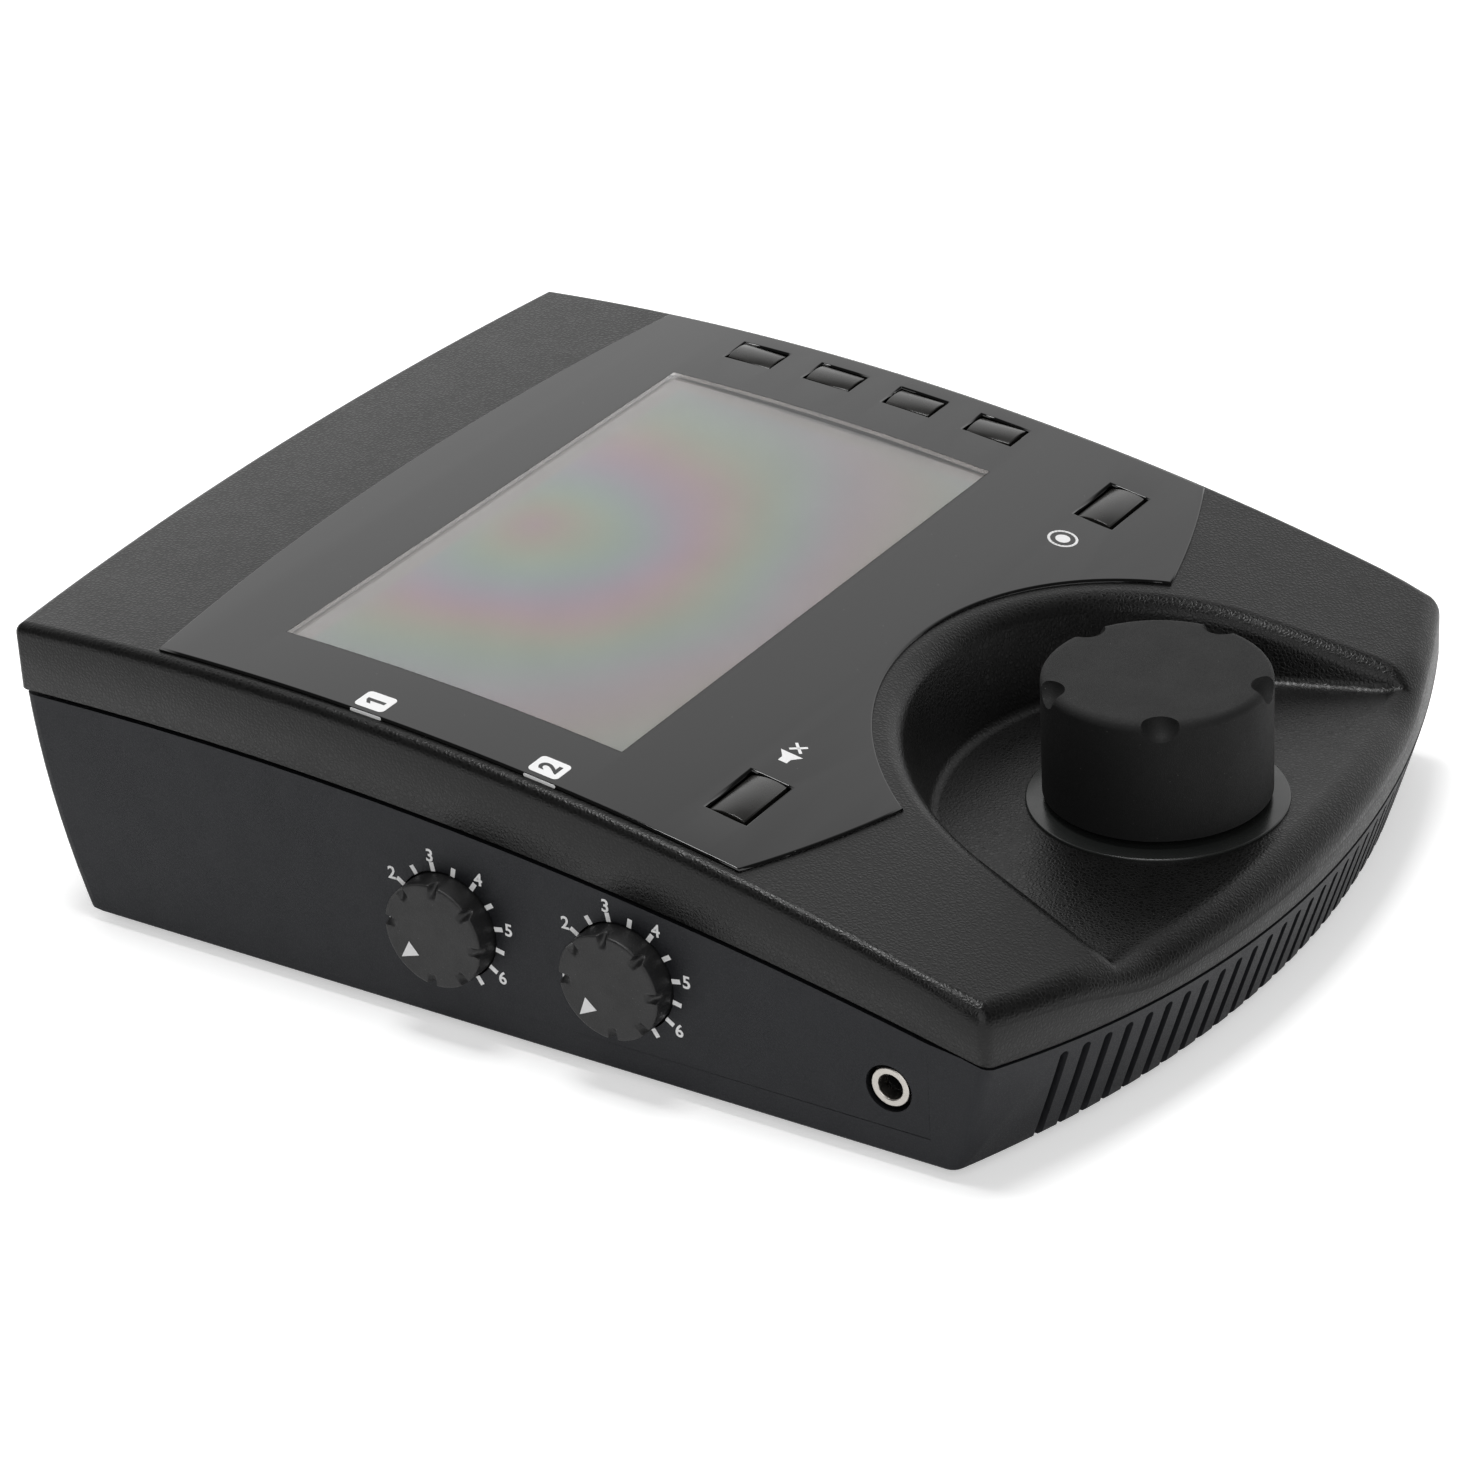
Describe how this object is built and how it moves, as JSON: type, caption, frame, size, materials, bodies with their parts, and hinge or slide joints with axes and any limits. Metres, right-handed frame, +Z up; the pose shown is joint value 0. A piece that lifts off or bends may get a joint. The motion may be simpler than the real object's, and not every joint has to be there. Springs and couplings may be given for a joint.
{
  "type": "personal monitor mixer",
  "caption": "Desktop personal monitor mixer with an arched cover, inset display, soft keys, push dial in a well, side gain knobs, headphone socket and rear sockets.",
  "frame": {"origin": "middle of the unit's box, on the table under its feet", "axes": "+X to the user's right, +Y to the back, +Z up"},
  "size_m": [0.1335, 0.1694, 0.0465],
  "materials": {
    "case_plastic": "smooth satin",
    "cover_plastic": "fine leather grain",
    "panel_gloss": "polished",
    "window_clear": "polished",
    "screen": "smooth",
    "frame_plastic": "satin",
    "key_plastic": "smoky satin",
    "switch_plastic": "satin",
    "board": "lacquered",
    "cable": "satin",
    "screw_steel": "plated",
    "dial_rubber": "soft-touch",
    "ring_plastic": "translucent satin",
    "encoder_metal": "plated",
    "rotor_plastic": "smooth",
    "shaft_steel": "turned",
    "knob_plastic": "satin",
    "pot_plastic": "satin",
    "socket_plastic": "satin",
    "ferrule_metal": "polished",
    "network_shell": "plated",
    "foot_rubber": "matte"
  },
  "bodies": {
    "housing": {"bottom_case": "case_plastic", "side_plate": "case_plastic", "top_cover": "cover_plastic", "display_panel": "panel_gloss", "display_window": "window_clear", "lcd_screen": "screen", "lcd_frame": "frame_plastic", "key_switches": "switch_plastic", "control_board": "board", "control_board_screws": "screw_steel", "ribbon_cable": "cable", "main_board": "board", "main_board_screws": "screw_steel", "dial_ring": "ring_plastic", "encoder_housing": "encoder_metal", "encoder_washer": "screw_steel", "encoder_nut": "screw_steel", "encoder_board": "board", "encoder_header": "switch_plastic", "gain_pot_1": "pot_plastic", "gain_pot_2": "pot_plastic", "headphone_jack": "socket_plastic", "headphone_ferrule": "ferrule_metal", "input_jack_1": "socket_plastic", "input_jack_2": "socket_plastic", "output_jack_1": "socket_plastic", "output_jack_2": "socket_plastic", "network_socket": "network_shell", "power_inlet": "socket_plastic", "rear_plate": "case_plastic", "rubber_feet": "foot_rubber", "case_screws": "screw_steel"},
    "softkey_1_body": {"softkey_1": "key_plastic"},
    "softkey_2_body": {"softkey_2": "key_plastic"},
    "softkey_3_body": {"softkey_3": "key_plastic"},
    "softkey_4_body": {"softkey_4": "key_plastic"},
    "mute_key_body": {"mute_key": "key_plastic"},
    "record_key_body": {"record_key": "key_plastic"},
    "encoder_rotor_body": {"encoder_rotor": "rotor_plastic"},
    "dial": {"dial_knob": "dial_rubber", "encoder_shaft": "shaft_steel"},
    "gain_1": {"gain_knob_1": "knob_plastic", "gain_shaft_1": "shaft_steel"},
    "gain_2": {"gain_knob_2": "knob_plastic", "gain_shaft_2": "shaft_steel"}
  },
  "joints": [
    {"name": "softkey_1_press", "type": "slide", "parent": "housing", "child": "softkey_1_body", "axis": [0, 0.0903, -0.9959], "range_m": [0, 0.0005], "stiffness_N_per_m": 1500, "springref_m": -0.0003},
    {"name": "softkey_2_press", "type": "slide", "parent": "housing", "child": "softkey_2_body", "axis": [0, 0.0903, -0.9959], "range_m": [0, 0.0005], "stiffness_N_per_m": 1500, "springref_m": -0.0003},
    {"name": "softkey_3_press", "type": "slide", "parent": "housing", "child": "softkey_3_body", "axis": [0, 0.0903, -0.9959], "range_m": [0, 0.0005], "stiffness_N_per_m": 1500, "springref_m": -0.0003},
    {"name": "softkey_4_press", "type": "slide", "parent": "housing", "child": "softkey_4_body", "axis": [0, 0.0903, -0.9959], "range_m": [0, 0.0005], "stiffness_N_per_m": 1500, "springref_m": -0.0003},
    {"name": "mute_key_press", "type": "slide", "parent": "housing", "child": "mute_key_body", "axis": [0, 0.0903, -0.9959], "range_m": [0, 0.0005], "stiffness_N_per_m": 1500, "springref_m": -0.0003},
    {"name": "record_key_press", "type": "slide", "parent": "housing", "child": "record_key_body", "axis": [0, 0.0903, -0.9959], "range_m": [0, 0.0005], "stiffness_N_per_m": 1500, "springref_m": -0.0003},
    {"name": "dial_turn", "type": "hinge", "parent": "housing", "child": "encoder_rotor_body", "pos_m": [0.00175, -0.0573, 0.03], "axis": [0, 0, 1], "continuous": true},
    {"name": "dial_push", "type": "slide", "parent": "encoder_rotor_body", "child": "dial", "axis": [0, 0, -1], "range_m": [0, 0.0006], "stiffness_N_per_m": 2500, "springref_m": -0.0005},
    {"name": "gain_1_turn", "type": "hinge", "parent": "housing", "child": "gain_1", "pos_m": [-0.05825, 0.01485, 0.01655], "axis": [1, 0, 0], "range_deg": [-20, 280]},
    {"name": "gain_2_turn", "type": "hinge", "parent": "housing", "child": "gain_2", "pos_m": [-0.05825, -0.01325, 0.01655], "axis": [1, 0, 0], "range_deg": [-12, 288]}
  ]
}
